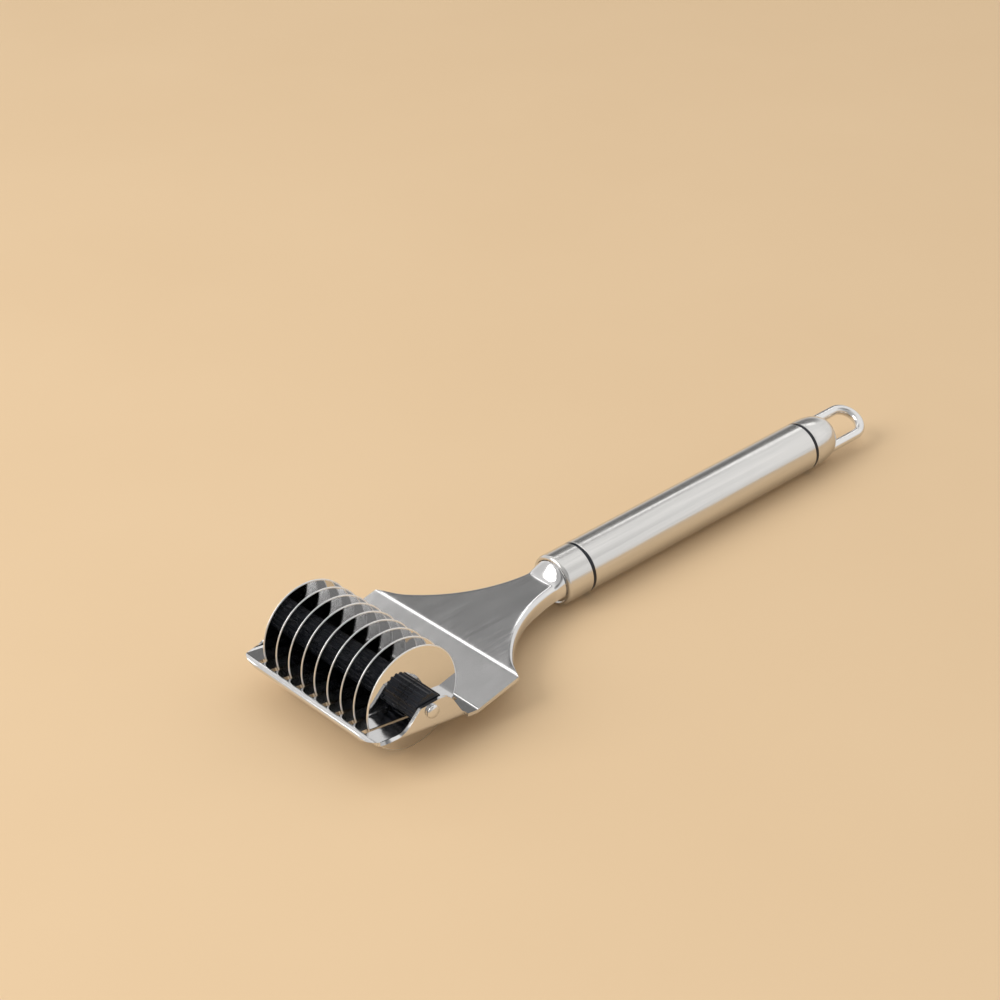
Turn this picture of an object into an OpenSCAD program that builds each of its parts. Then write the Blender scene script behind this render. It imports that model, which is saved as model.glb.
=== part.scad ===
// Herb chopper: nine thin disc blades on a roller, held in a bent sheet head
// on a round tube handle with two black rings and a hanging eye.
// Millimetres. X runs along the roller, Y runs back along the handle, Z is up.
// The origin is on the board, straight below the middle of the roller.

/* [Roller] */
// Radius of each disc blade
blade_r = 15; // [12:0.5:20]
// Thickness of each disc blade
blade_t = 0.5; // [0.4:0.1:1]
// Width of the ground edge round each blade
edge_w = 0.7; // [0.5:0.1:1.5]
// Clear gap between two blades, which is the length of an inner spacer
gap_w = 5; // [4:0.25:7]
// Length of the longer spacer at each end of the roller
end_spacer_l = 6.5; // [4:0.25:9]
// Outer radius of the spacers, measured over the ribs
spacer_r = 4.7; // [3.8:0.1:5.4]
// Height of the ribs on the spacers
rib_h = 0.4; // [0.2:0.05:0.8]
// Radius of the axle
axle_r = 1.5; // [1:0.1:2]
// Radius of the domed head on each end of the axle
head_r = 2; // [1.6:0.1:2.6]
// Height of each domed head
head_h = 1.4; // [0.8:0.1:2]

/* [Sheet head] */
// Thickness of the bent sheet
sheet_t = 1; // [0.6:0.1:1.5]
// How far the front lip stands in front of the blades
lip_reach = 3; // [2.6:0.1:4]
// Height of the turned down lip along the front edge
lip_h = 1.7; // [1.6:0.1:2.4]
// Outside radius of the bend between the slotted plate and the front lip
lip_bend = 1.3; // [1.2:0.1:1.4]
// Drop from the roller axis to the slotted plate at its front edge
front_drop = 2.1; // [1.6:0.1:2.6]
// Drop from the roller axis to the slotted plate at its rear bend
valley_drop = 7.8; // [6.6:0.2:9]
// Drop from the roller axis to the flat top of the flared plate
plate_drop = 4.8; // [3:0.2:6]
// Distance from the roller axis back to the rear bend of the slotted plate
valley_y = 15.2; // [14.6:0.2:18]
// Distance from the roller axis back to the ridge bend
ridge_y = 30; // [26:0.5:36]
// Height of the ears above the roller axis
ear_rise = 2.3; // [2.1:0.1:3]
// Radius of the rounded front corners of the slotted plate
corner_r = 5.4; // [4:0.2:8]
// Radius of each hollow side of the flared plate
flare_r = 45.5; // [40:0.5:52]
// Half the width of the neck where it meets the handle
neck_half = 5.8; // [5:0.1:6.4]
// Depth of the turned down edge at the neck
flange_h = 4.6; // [3:0.2:6]
// Outside radius of the turned down edge
bend_r = 1.6; // [1.2:0.1:2.5]

/* [Handle] */
// Outside radius of the handle tube
tube_r = 7.8; // [7.4:0.1:9]
// Wall thickness of the tube, the front sleeve and the end cap
tube_wall = 0.8; // [0.5:0.1:1.2]
// Distance from the roller axis back to the front of the front sleeve
sleeve_y = 69.3; // [68:0.5:76]
// Length of the front sleeve
sleeve_l = 9.7; // [9:0.1:14]
// Radius of the rounded front edge of the front sleeve
sleeve_round = 1.8; // [1:0.1:2.4]
// Width of the black ring that shows at each end of the tube
ring_w = 1.1; // [0.8:0.1:2]
// Length of the tube between the two black rings
tube_l = 94.5; // [70:0.5:130]
// Length of the domed end cap
cap_l = 12.4; // [10:0.2:16]
// Fullness of the dome: 2 gives an ellipse, and more gives a blunter end
cap_full = 3; // [2:0.25:4]
// Half the width of the hanging eye, along the middle of its rod
eye_half = 5.3; // [4.6:0.1:5.4]
// Length of the straight sides that show between the cap and the round end of the eye
eye_straight = 8.4; // [4:0.2:14]
// Radius of the rod that forms the hanging eye
eye_rod_r = 1.6; // [1:0.1:1.6]
// How far the hanging eye is turned about the handle, in degrees
eye_turn = 26; // [0:1:90]

/* [Hidden] */
// Counts
blade_count = 9;
rib_count = 18;
round_fn = 96;
hull_fn = 32;
dome_steps = 16;

// Fits and small gaps, each a share of the size that it depends on
run_gap = axle_r / 30;
seat_gap = tube_wall / 40;
side_gap = gap_w / 20;
slot_gap = gap_w / 10;
edge_t = blade_t * 0.5;
overlap = sheet_t / 20;

// Roller places
pitch = gap_w + blade_t;
blade_span = (blade_count - 1) * pitch;
roller_half = blade_span / 2 + blade_t / 2 + end_spacer_l;
ear_in = roller_half + side_gap;
ear_out = ear_in + sheet_t;
axis_z = blade_r;
bore_r = axle_r + run_gap;

// Sheet head places
front_y = -(blade_r + lip_reach);
front_z = axis_z - front_drop;
valley_z = axis_z - valley_drop;
plate_z = axis_z - plate_drop;
base_tilt = atan2(valley_z - front_z, valley_y - front_y);
base_slope = (valley_z - front_z) / (valley_y - front_y);
lip_y = front_y + lip_bend;
lip_z = front_z + base_slope * lip_bend - lip_bend / cos(base_tilt);
lip_half = ear_out - corner_r;
slot_front = front_y + lip_bend * 1.2;
slot_rear = valley_y - sheet_t * 0.8;
ear_bend = sheet_t * 2;
ear_foot_y = -blade_r * 0.68;
ear_foot_z = front_z - lip_h;
ear_brow_r = ear_rise * 0.7;
ear_brow_y = -blade_r * 0.19;
ear_back_r = blade_r * 0.365;
ear_back_y = blade_r * 0.175;
ear_top_z = axis_z + ear_rise;
ear_rear_y = valley_y - sheet_t * 4.3;
notch_r = sheet_t / 2;
notch_l = sheet_t * 1.6;
notch_y = ear_rear_y + notch_r;
flare_x = neck_half + flare_r;
flare_y = ridge_y + sqrt(flare_r * flare_r - (flare_x - ear_out) * (flare_x - ear_out));
flare_sweep = atan2(flare_y - ridge_y, flare_x - ear_out);
taper_y = ridge_y + (sleeve_y - ridge_y) * 0.7;

// Handle places
handle_z = tube_r;
bore_tube_r = tube_r - tube_wall;
neck_r = bore_tube_r - seat_gap;
ramp_l = sheet_t * 4;
ramp_y = sleeve_y - ramp_l;
ramp_half = flare_x - sqrt(flare_r * flare_r - (flare_y - ramp_y) * (flare_y - ramp_y));
ramp_lap = sheet_t * 0.3;
ramp_end = ramp_y + sheet_t * 1.5;
flare_start = asin((flare_y - ramp_end + ramp_lap) / (flare_r + bend_r));
neck_l = sleeve_l * 0.55;
neck_low = plate_z - flange_h;
ring_recess = tube_wall * 0.15;
spigot_l = sleeve_l * 0.35;
sleeve_end = sleeve_y + sleeve_l;
tube_y = sleeve_end + ring_w;
tube_end = tube_y + tube_l;
cap_y = tube_end + ring_w;
cap_end = cap_y + cap_l;
eye_sink = cap_l * 0.36;
eye_root = cap_end - eye_sink;
eye_y = cap_end + eye_straight;

// Colours for the preview
steel_colour = [0.78, 0.79, 0.8];
bright_colour = [0.88, 0.88, 0.9];
black_colour = [0.08, 0.08, 0.09];

// Which sub-part to draw

// Turns a shape drawn along Z so that it runs along the roller, centred on its axis
module on_roller(x) {
    translate([x, 0, axis_z])
        rotate([0, 90, 0])
            children();
}

// Turns a shape drawn along Z so that it runs back along the handle axis
module on_handle(y) {
    translate([0, y, handle_z])
        rotate([-90, 0, 0])
            children();
}

// Extrudes an outline drawn in Y and Z to the given width, centred on X
module across(width) {
    rotate([90, 0, 90])
        linear_extrude(height = width, center = true)
            children();
}

// One disc blade with a ground edge and a centre hole
module blade(index) {
    on_roller((index - (blade_count - 1) / 2) * pitch)
        color(bright_colour)
            rotate_extrude($fn = round_fn)
                polygon([
                    [bore_r, -blade_t / 2],
                    [blade_r - edge_w, -blade_t / 2],
                    [blade_r, -edge_t / 2],
                    [blade_r, edge_t / 2],
                    [blade_r - edge_w, blade_t / 2],
                    [bore_r, blade_t / 2]
                ]);
}

// One ribbed spacer of the given length, starting at the given X
module spacer(x, length) {
    rib_w = 2 * PI * spacer_r / rib_count * 0.5;
    on_roller(x)
        color(black_colour)
            linear_extrude(height = length)
                difference() {
                    union() {
                        circle(r = spacer_r - rib_h, $fn = round_fn);
                        for (i = [0 : rib_count - 1])
                            rotate(i * 360 / rib_count)
                                translate([spacer_r - rib_h * 2, -rib_w / 2])
                                    square([rib_h * 2, rib_w]);
                    }
                    circle(r = bore_r, $fn = round_fn);
                }
}

// The spacer that follows the given blade
module inner_spacer(index) {
    spacer(-blade_span / 2 + index * pitch + blade_t / 2, gap_w);
}

// Side outline of the ears with the slotted plate below them, in Y and Z
module ear_side() {
    union() {
        hull() {
            translate([ear_brow_y, ear_top_z - ear_brow_r])
                circle(r = ear_brow_r, $fn = hull_fn);
            translate([ear_back_y, ear_top_z - ear_back_r])
                circle(r = ear_back_r, $fn = round_fn);
            polygon([
                [ear_foot_y, ear_foot_z],
                [ear_rear_y, valley_z],
                [ear_foot_y, valley_z]
            ]);
        }
        polygon([
            [lip_y, front_z + base_slope * lip_bend + overlap],
            [valley_y, valley_z + overlap],
            [valley_y, valley_z - sheet_t - ear_bend],
            [lip_y, front_z - sheet_t - ear_bend]
        ]);
        translate([lip_y, lip_z])
            circle(r = lip_bend, $fn = round_fn);
    }
}

// Plan outline of the slotted plate and the ears, with its rounded front corners
module base_plan() {
    hull() {
        for (side = [-1, 1])
            translate([side * (ear_out - corner_r), front_y + corner_r])
                circle(r = corner_r, $fn = round_fn);
        translate([-ear_out, notch_y])
            square([2 * ear_out, overlap]);
    }
}

// Flat strip of the slotted plate up to the rear bend, drawn longer and wider than it is cut
module rear_strip() {
    strip_l = valley_y - ear_foot_y;
    translate([0, valley_y, valley_z])
        rotate([base_tilt, 0, 0])
            translate([-1.5 * ear_out, -strip_l, -sheet_t])
                cube([3 * ear_out, strip_l, sheet_t]);
}

// Cross-section of the slotted plate and the ears as one bent channel, in X and Z
module channel_section() {
    difference() {
        hull() {
            for (side = [-1, 1])
                translate([side * (ear_out - ear_bend), ear_bend - sheet_t])
                    circle(r = ear_bend, $fn = round_fn);
            translate([-ear_out, blade_r])
                square([2 * ear_out, sheet_t]);
        }
        hull() {
            for (side = [-1, 1])
                translate([side * (ear_out - ear_bend), ear_bend - sheet_t])
                    circle(r = ear_bend - sheet_t, $fn = round_fn);
            translate([-ear_in, blade_r])
                square([2 * ear_in, sheet_t * 2]);
        }
    }
}

// Slotted plate with both ears
module base_and_ears() {
    channel_l = (valley_y - front_y) * 1.2;
    intersection() {
        translate([0, valley_y, valley_z])
            rotate([base_tilt, 0, 0])
                rotate([90, 0, 0])
                    linear_extrude(height = channel_l)
                        channel_section();
        across(4 * ear_out)
            ear_side();
        linear_extrude(height = 3 * blade_r)
            base_plan();
    }
}

// Turned down lip along the straight part of the front edge
module front_lip() {
    reach = 3 * lip_bend;
    low_z = front_z - lip_h;
    across(2 * lip_half)
        union() {
            intersection() {
                translate([lip_y, lip_z])
                    difference() {
                        circle(r = lip_bend, $fn = round_fn);
                        circle(r = lip_bend - sheet_t, $fn = round_fn);
                    }
                polygon([
                    [lip_y, lip_z],
                    [lip_y - reach * sin(base_tilt), lip_z + reach * cos(base_tilt)],
                    [lip_y - reach, lip_z + reach],
                    [lip_y - reach, lip_z]
                ]);
            }
            translate([front_y, low_z])
                square([sheet_t, lip_z - low_z + overlap]);
        }
}

// Strip behind the ears, plate between the rear bend and the ridge, and the flat flared plate behind it
module rear_plates() {
    intersection() {
        union() {
            rear_strip();
            across(4 * ear_out)
                polygon([
                    [valley_y - overlap, valley_z],
                    [ridge_y, plate_z],
                    [ramp_end, plate_z],
                    [ramp_end, plate_z - sheet_t],
                    [ridge_y, plate_z - sheet_t],
                    [valley_y - overlap, valley_z - sheet_t]
                ]);
        }
        linear_extrude(height = 3 * blade_r)
            difference() {
                translate([-ear_out, notch_y])
                    square([2 * ear_out, ramp_end - notch_y]);
                for (side = [-1, 1])
                    translate([side * flare_x, flare_y])
                        circle(r = flare_r + bend_r - overlap, $fn = round_fn * 2);
            }
    }
}

// Rounded and turned down edge along one hollow side of the flared plate
module flare_edge() {
    translate([flare_x, flare_y, 0])
        rotate([0, 0, 180 + flare_start])
            rotate_extrude(angle = flare_sweep - flare_start, $fn = round_fn * 2) {
                intersection() {
                    difference() {
                        translate([flare_r + bend_r, plate_z - bend_r])
                            circle(r = bend_r, $fn = round_fn);
                        translate([flare_r + bend_r, plate_z - bend_r])
                            circle(r = bend_r - sheet_t, $fn = round_fn);
                    }
                    translate([flare_r, plate_z - bend_r])
                        square(bend_r);
                }
                translate([flare_r, plate_z - flange_h])
                    square([sheet_t, flange_h - bend_r + overlap]);
            }
}

// Everything below the slanting lower edge of the turned down sides
module flange_taper() {
    start_z = plate_z - bend_r - sheet_t * 0.2;
    across(4 * ear_out)
        polygon([
            [ridge_y - sheet_t * 2, start_z],
            [ridge_y, start_z],
            [taper_y, plate_z - flange_h],
            [taper_y, plate_z - 3 * flange_h],
            [ridge_y - sheet_t * 2, plate_z - 3 * flange_h]
        ]);
}

// Half round core of the neck, cut off level at the given height
module half_round(y, length, radius, low) {
    intersection() {
        on_handle(y)
            cylinder(r = radius, h = length, $fn = round_fn);
        translate([-2 * radius, y, low])
            cube([4 * radius, length, 4 * radius]);
    }
}

// Solid ramp from the end of the flared plate, set in by the given inset, to a half round of the given radius
module neck_ramp(inset, core_r, reach) {
    low_z = neck_low - reach;
    hull() {
        translate([0, ramp_y, 0])
            rotate([90, 0, 0])
                linear_extrude(height = overlap + reach) {
                    for (side = [-1, 1])
                        translate([side * (ramp_half - bend_r), plate_z - bend_r])
                            circle(r = bend_r - inset, $fn = hull_fn);
                    translate([inset - ramp_half, low_z])
                        square([2 * (ramp_half - inset), overlap]);
                }
        intersection() {
            on_handle(sleeve_y)
                cylinder(r = core_r, h = overlap + reach, $fn = round_fn);
            translate([-neck_r, sleeve_y, low_z])
                cube([2 * neck_r, overlap + reach, 4 * neck_r]);
        }
    }
}

// The hollow half round neck that is pushed into the front sleeve
module neck() {
    difference() {
        half_round(sleeve_y, neck_l, neck_r, neck_low);
        half_round(sleeve_y - overlap, neck_l + 2 * overlap, neck_r - sheet_t, -neck_r);
    }
}

// One slot for a blade, cut straight down through the slotted plate
module blade_slot(x) {
    half = blade_t / 2 + slot_gap;
    translate([x - half, slot_front, 0])
        cube([2 * half, slot_rear - slot_front, axis_z]);
}

// One notch in the edge of the plate behind an ear, open to the side
module rear_notch() {
    translate([ear_out - notch_l + notch_r, notch_y, 0]) {
        cylinder(r = notch_r, h = axis_z, $fn = round_fn);
        translate([0, -notch_r, 0])
            cube([2 * notch_l, 2 * notch_r, axis_z]);
    }
}

module head_plate() {
    color(steel_colour)
        difference() {
            union() {
                base_and_ears();
                front_lip();
                rear_plates();
                difference() {
                    for (side = [0, 1])
                        mirror([side, 0, 0])
                            flare_edge();
                    flange_taper();
                }
                neck();
                neck_ramp(ramp_lap, neck_r, 0);
            }
            neck_ramp(sheet_t + ramp_lap, neck_r - sheet_t, overlap);
            for (i = [0 : blade_count - 1])
                blade_slot((i - (blade_count - 1) / 2) * pitch);
            on_roller(0)
                cylinder(r = bore_r, h = 4 * ear_out, center = true, $fn = round_fn);
            for (side = [0, 1])
                mirror([side, 0, 0])
                    rear_notch();
        }
}

module axle() {
    on_roller(0)
        color(steel_colour)
            cylinder(r = axle_r, h = 2 * ear_out, center = true, $fn = round_fn);
}

module axle_heads() {
    stem_h = head_h * 0.35;
    for (side = [0, 1])
        mirror([side, 0, 0])
            on_roller(ear_out)
                color(bright_colour)
                    rotate_extrude($fn = round_fn) {
                        square([head_r, stem_h]);
                        intersection() {
                            translate([0, head_h - head_r * 1.3])
                                circle(r = head_r * 1.3, $fn = round_fn);
                            translate([0, stem_h - overlap])
                                square([head_r, head_h]);
                        }
                    }
}

module blade_1() { blade(0); }
module blade_2() { blade(1); }
module blade_3() { blade(2); }
module blade_4() { blade(3); }
module blade_5() { blade(4); }
module blade_6() { blade(5); }
module blade_7() { blade(6); }
module blade_8() { blade(7); }
module blade_9() { blade(8); }

module spacer_1() { inner_spacer(0); }
module spacer_2() { inner_spacer(1); }
module spacer_3() { inner_spacer(2); }
module spacer_4() { inner_spacer(3); }
module spacer_5() { inner_spacer(4); }
module spacer_6() { inner_spacer(5); }
module spacer_7() { inner_spacer(6); }
module spacer_8() { inner_spacer(7); }
module end_spacer_left() { spacer(-roller_half, end_spacer_l); }
module end_spacer_right() { spacer(roller_half - end_spacer_l, end_spacer_l); }

// Front sleeve: a short tube with a rounded front edge that closes down on the neck
module front_sleeve() {
    on_handle(sleeve_y)
        color(steel_colour)
            rotate_extrude($fn = round_fn)
                difference() {
                    union() {
                        translate([tube_r - sleeve_round, sleeve_round])
                            circle(r = sleeve_round, $fn = round_fn);
                        translate([bore_tube_r - sleeve_round, sleeve_round])
                            square([tube_r - bore_tube_r + sleeve_round, sleeve_l - sleeve_round]);
                    }
                    translate([0, -overlap])
                        square([bore_tube_r, sleeve_l + 2 * overlap]);
                }
}

// A black ring with a solid spigot on each side that joins the two tubes it stands between
module joint_ring(y) {
    on_handle(y)
        color(black_colour)
            union() {
                cylinder(r = tube_r - ring_recess, h = ring_w, $fn = round_fn);
                translate([0, 0, -spigot_l])
                    cylinder(r = neck_r, h = 2 * spigot_l + ring_w, $fn = round_fn);
            }
}

module front_ring() { joint_ring(sleeve_end); }
module rear_ring() { joint_ring(tube_end); }

module handle_tube() {
    on_handle(tube_y)
        color(steel_colour)
            difference() {
                cylinder(r = tube_r, h = tube_l, $fn = round_fn);
                translate([0, 0, -overlap])
                    cylinder(r = bore_tube_r, h = tube_l + 2 * overlap, $fn = round_fn);
            }
}

// Domed end cap: a blunt dome of revolution with a socket for the rear ring
module end_cap() {
    on_handle(cap_y)
        color(steel_colour)
            difference() {
                rotate_extrude($fn = round_fn)
                    polygon(concat(
                        [[0, 0]],
                        [for (i = [0 : dome_steps])
                            [tube_r * pow(cos(90 * i / dome_steps), 2 / cap_full),
                             cap_l * pow(sin(90 * i / dome_steps), 2 / cap_full)]]
                    ));
                translate([0, 0, -overlap])
                    cylinder(r = bore_tube_r, h = spigot_l + 2 * overlap, $fn = round_fn);
            }
}

// Hanging eye: a bow of round rod with both legs set in the end cap, turned about the handle axis
module hanging_eye() {
    on_handle(eye_y)
        color(bright_colour)
            rotate([90, 0, eye_turn])
                union() {
                    rotate_extrude(angle = 180, $fn = round_fn)
                        translate([eye_half, 0])
                            circle(r = eye_rod_r, $fn = round_fn);
                    for (side = [-1, 1])
                        translate([side * eye_half, 0, 0])
                            rotate([90, 0, 0])
                                cylinder(r = eye_rod_r, h = eye_y - eye_root, $fn = round_fn);
                }
}

head_plate();
axle();
axle_heads();
blade_1();
blade_2();
blade_3();
blade_4();
blade_5();
blade_6();
blade_7();
blade_8();
blade_9();
spacer_1();
spacer_2();
spacer_3();
spacer_4();
spacer_5();
spacer_6();
spacer_7();
spacer_8();
end_spacer_left();
end_spacer_right();
front_sleeve();
front_ring();
handle_tube();
rear_ring();
end_cap();
hanging_eye();
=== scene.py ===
import math
from itertools import chain

import bmesh
import bpy
from mathutils import Matrix, Vector


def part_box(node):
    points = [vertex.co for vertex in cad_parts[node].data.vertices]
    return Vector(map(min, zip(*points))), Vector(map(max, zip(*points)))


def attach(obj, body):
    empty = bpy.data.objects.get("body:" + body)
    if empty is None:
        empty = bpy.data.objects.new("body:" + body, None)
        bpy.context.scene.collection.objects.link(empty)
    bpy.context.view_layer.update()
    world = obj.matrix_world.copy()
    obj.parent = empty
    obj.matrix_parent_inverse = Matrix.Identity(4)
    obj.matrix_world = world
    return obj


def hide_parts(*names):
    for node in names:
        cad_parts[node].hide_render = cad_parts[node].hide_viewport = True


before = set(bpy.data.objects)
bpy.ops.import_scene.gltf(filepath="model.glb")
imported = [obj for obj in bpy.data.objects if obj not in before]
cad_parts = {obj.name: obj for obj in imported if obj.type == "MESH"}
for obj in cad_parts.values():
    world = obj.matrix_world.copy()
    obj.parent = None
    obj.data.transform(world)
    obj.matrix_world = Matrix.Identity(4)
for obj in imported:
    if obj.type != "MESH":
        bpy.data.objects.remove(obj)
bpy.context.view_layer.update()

# Every size below is in millimetres, and meshes are scaled to metres when they are made
MM = 0.001
X, Y, Z = 0, 1, 2


def span(node, axis):
    """Lowest and highest place of a node along one axis."""
    low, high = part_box(node)
    return low[axis] / MM, high[axis] / MM


def middle(node, axis):
    """Middle of a node along one axis."""
    return sum(span(node, axis)) / 2


# Sizes of the roller, read from the frame
BLADES = [f"blade_{i}" for i in range(1, 10)]
INNER_SPACERS = [f"spacer_{i}" for i in range(1, 9)]
END_SPACERS = ["end_spacer_left", "end_spacer_right"]
AXIS_Z = middle("blade_1", Z)
BLADE_R = (span("blade_1", Z)[1] - span("blade_1", Z)[0]) / 2
BLADE_T = span("blade_1", X)[1] - span("blade_1", X)[0]
BLADE_X = [middle(blade, X) for blade in BLADES]
SPACER_R = (span("spacer_1", Z)[1] - span("spacer_1", Z)[0]) / 2
AXLE_R = (span("axle", Z)[1] - span("axle", Z)[0]) / 2
HEAD_R = (span("axle_heads", Z)[1] - span("axle_heads", Z)[0]) / 2
HEAD_H = span("axle_heads", X)[1] - span("axle", X)[1]

# Sizes of the handle, read from the frame
TUBE_R = (span("handle_tube", X)[1] - span("handle_tube", X)[0]) / 2
HANDLE_Z = middle("handle_tube", Z)
SLEEVE_Y = span("front_sleeve", Y)[0]
SLEEVE_END = span("front_sleeve", Y)[1]
TUBE_Y, TUBE_END = span("handle_tube", Y)
CAP_Y, CAP_END = span("end_cap", Y)
TUBE_WALL = 0.8
TUBE_BORE = TUBE_R - TUBE_WALL
RING_W = 1.1
RING_RECESS = 0.12
RING_OVERLAP = 0.02
SPIGOT_L = (SLEEVE_END - SLEEVE_Y) * 0.35
NECK_GAP = 0.5

# Sizes of the bent sheet
SHEET_T = 1.0
EAR_OUT = span("head_plate", X)[1]
EAR_IN = EAR_OUT - SHEET_T
EAR_BEND = 1.0
FLAT_HALF = EAR_IN - EAR_BEND
FRONT_Y = span("head_plate", Y)[0]
FRONT_Z = AXIS_Z - 2.1
VALLEY_Y = 15.2
VALLEY_Z = AXIS_Z - 7.8
RIDGE_Y = 30.0
PLATE_Z = AXIS_Z - 4.8
LIP_H = 1.7
LIP_BEND = 1.3
LIP_END = 0.6
VALLEY_BEND = 4.0
RIDGE_BEND = 10.0
CORNER_R = 5.4
FLARE_R = 45.5
NECK_HALF = 5.8
FLARE_X = NECK_HALF + FLARE_R
FLARE_Y = RIDGE_Y + math.sqrt(FLARE_R ** 2 - (FLARE_X - EAR_OUT) ** 2)
FLARE_SWEEP = math.acos((FLARE_X - EAR_OUT) / FLARE_R)
FLANGE_H = 4.6
FLANGE_BEND = 1.6
FLANGE_START = 0.12
FLANGE_RUN = 9
TAPER_Y = RIDGE_Y + (SLEEVE_Y - RIDGE_Y) * 0.7
RAMP_Y = SLEEVE_Y - 4.0
RAMP_CLEAR = 0.7
NECK_R = TUBE_BORE - NECK_GAP
NECK_END = span("head_plate", Y)[1]
SLOT_HALF = 0.75
SLOT_FRONT = FRONT_Y + LIP_BEND * 1.2
SLOT_REAR = VALLEY_Y - 0.8
NOTCH_Y = 11.4
NOTCH_HALF = 0.5
NOTCH_X = EAR_OUT - 1.1
SHEET_SOFT = 0.3

# Outline of the ears, seen from the side: a small round brow in front and a large round back
EAR_TOP = AXIS_Z + 2.3
BROW_Y = -2.85
BROW_R = 1.6
BACK_Y = 2.6
BACK_R = 5.5
EAR_FRONT = Vector((-9.3, AXIS_Z - 2.98))
EAR_REAR = Vector((10.6, AXIS_Z - 6.7))
EAR_FOOT = 2.8
CORNER_TURN = 1.16

# Details of the roller: the steps of a blade's edge are shares of its width and half thickness
ROLLER_BORE = AXLE_R + 0.05
EDGE_W = 0.45
EDGE_STEPS = ((1, 1), (0.5, 0.78), (0.16, 0.54), (0.05, 0.34))
RIB_COUNT = 18
RIB_STEPS = 12
RIB_H = 0.4
RIB_STEEP = 2.6
RIB_SHIFT = 0.2
SPACER_CHAMFER = 0.18

# Axle heads: heights as shares of the head's height, radii as shares of its radius, and soft edges
COLLAR_H = 0.2
GROOVE_H = 0.34
DOME_H = 0.42
BASE_H = 0.04
RIM_SHARE = 0.97
GROOVE_SHARE = 0.8
GROOVE_MOUTHS = (0.82, 0.9)
DOME_SHARE = 0.95
COLLAR_SOFT = 0.05
GROOVE_SOFT = 0.03

# Details of the handle
MOUTH_IN = 0.4
MOUTH_DEEP = 0.6
MOUTH_BACK = MOUTH_DEEP * 3
MOUTH_ROUNDS = (0, 0.2, 0.25, 1.1, 0.12, 0, 0, 0)
TUBE_ROUND = 0.14
RING_ROUND = 0.1
CAP_SOFT = 0.04
CAP_FULL = 3.0
CAP_STEPS = 32
CAP_CROWD = 1.4
EYE_HALF = 5.3
EYE_ROD_R = 1.6
EYE_TURN = math.radians(26)
EYE_SIDES = 28
EYE_LEG_STEPS = 6
EYE_BOW_STEPS = 40

# Fineness of the meshes
ROUND_STEPS = 128
PATH_STEPS = 8
BLADE_STEPS = 160
AXLE_STEPS = 64
HEAD_STEPS = 72
DOME_STEPS = 14
CREASE = math.radians(34)
SAME_POINT = 0.0001
TINY_EDGE = 0.004
HOLE_SIDES = 8
BROW_STEPS = 8
BACK_STEPS = 12
FOOT_STEPS = 8
EAR_FRONT_STEPS = 5
EAR_REAR_STEPS = 6
SOFT_STEPS = 4
SOFT_ANGLE = math.radians(60)


def place(name, verts, faces, body, material, nodes):
    """Makes a mesh object from millimetre points, and seats it in the frame."""
    mesh = bpy.data.meshes.new(name)
    mesh.from_pydata([Vector(v) * MM for v in verts], [], faces)
    piece = bpy.data.objects.new(name, mesh)
    bpy.context.scene.collection.objects.link(piece)
    clean(piece)
    mesh.materials.append(material)
    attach(piece, body)
    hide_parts(*nodes)
    return piece


def clean(piece, near=SAME_POINT, sides=0):
    """Joins points nearer than a length, fills open loops of up to so many sides, turns the faces
    outwards, and marks creases as sharp."""
    made = bmesh.new()
    made.from_mesh(piece.data)
    bmesh.ops.remove_doubles(made, verts=made.verts, dist=near * MM)
    bmesh.ops.dissolve_degenerate(made, edges=made.edges, dist=near * MM)
    if sides:
        open_edges = [edge for edge in made.edges if edge.is_boundary]
        bmesh.ops.holes_fill(made, edges=open_edges, sides=sides)
    bmesh.ops.recalc_face_normals(made, faces=made.faces)
    for face in made.faces:
        face.smooth = True
    for edge in made.edges:
        if len(edge.link_faces) == 2:
            edge.smooth = edge.calc_face_angle() < CREASE
    made.to_mesh(piece.data)
    made.free()


def settle(piece):
    """Applies the modifiers of a piece to its mesh."""
    depsgraph = bpy.context.evaluated_depsgraph_get()
    mesh = bpy.data.meshes.new_from_object(piece.evaluated_get(depsgraph))
    piece.modifiers.clear()
    piece.data = mesh
    return piece


def weigh_normals(piece):
    """Keeps flat faces flat beside their rounded edges."""
    weighted = piece.modifiers.new("weighted", "WEIGHTED_NORMAL")
    weighted.keep_sharp = True
    return settle(piece)


def rounded(corners, radii, steps=6, closed=False):
    """Path through the corners, with an arc of the given radius at each one that has a radius."""
    path = []
    count = len(corners)
    for i, (corner, radius) in enumerate(zip(corners, radii)):
        corner = Vector(corner)
        if radius == 0 or (not closed and i in (0, count - 1)):
            path.append(corner)
            continue
        back = (Vector(corners[i - 1]) - corner).normalized()
        ahead = (Vector(corners[(i + 1) % count]) - corner).normalized()
        half = back.angle(ahead) / 2
        centre = corner + (back + ahead).normalized() * radius / math.sin(half)
        first = corner + back * radius / math.tan(half) - centre
        last = corner + ahead * radius / math.tan(half) - centre
        turn = first.angle(last)
        for k in range(steps + 1):
            t = k / steps
            share = math.sin((1 - t) * turn), math.sin(t * turn)
            path.append(centre + (first * share[0] + last * share[1]) / math.sin(turn))
    return path


def lathe(profile, spot, direction, closed=True, steps=ROUND_STEPS):
    """Turns a profile of (radius, along) points about an axis. Returns points and faces."""
    along = Vector(direction)
    side = Vector((0, 0, 1))
    across = along.cross(side)
    verts = []
    for k in range(steps):
        angle = 2 * math.pi * k / steps
        outward = side * math.cos(angle) + across * math.sin(angle)
        verts += [Vector(spot) + outward * radius + along * reach for radius, reach in profile]
    count = len(profile)
    faces = []
    for k in range(steps):
        for i in range(count if closed else count - 1):
            a, b = k * count, (k + 1) % steps * count
            j = (i + 1) % count
            faces.append((a + i, a + j, b + j, b + i))
    return verts, faces


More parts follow.
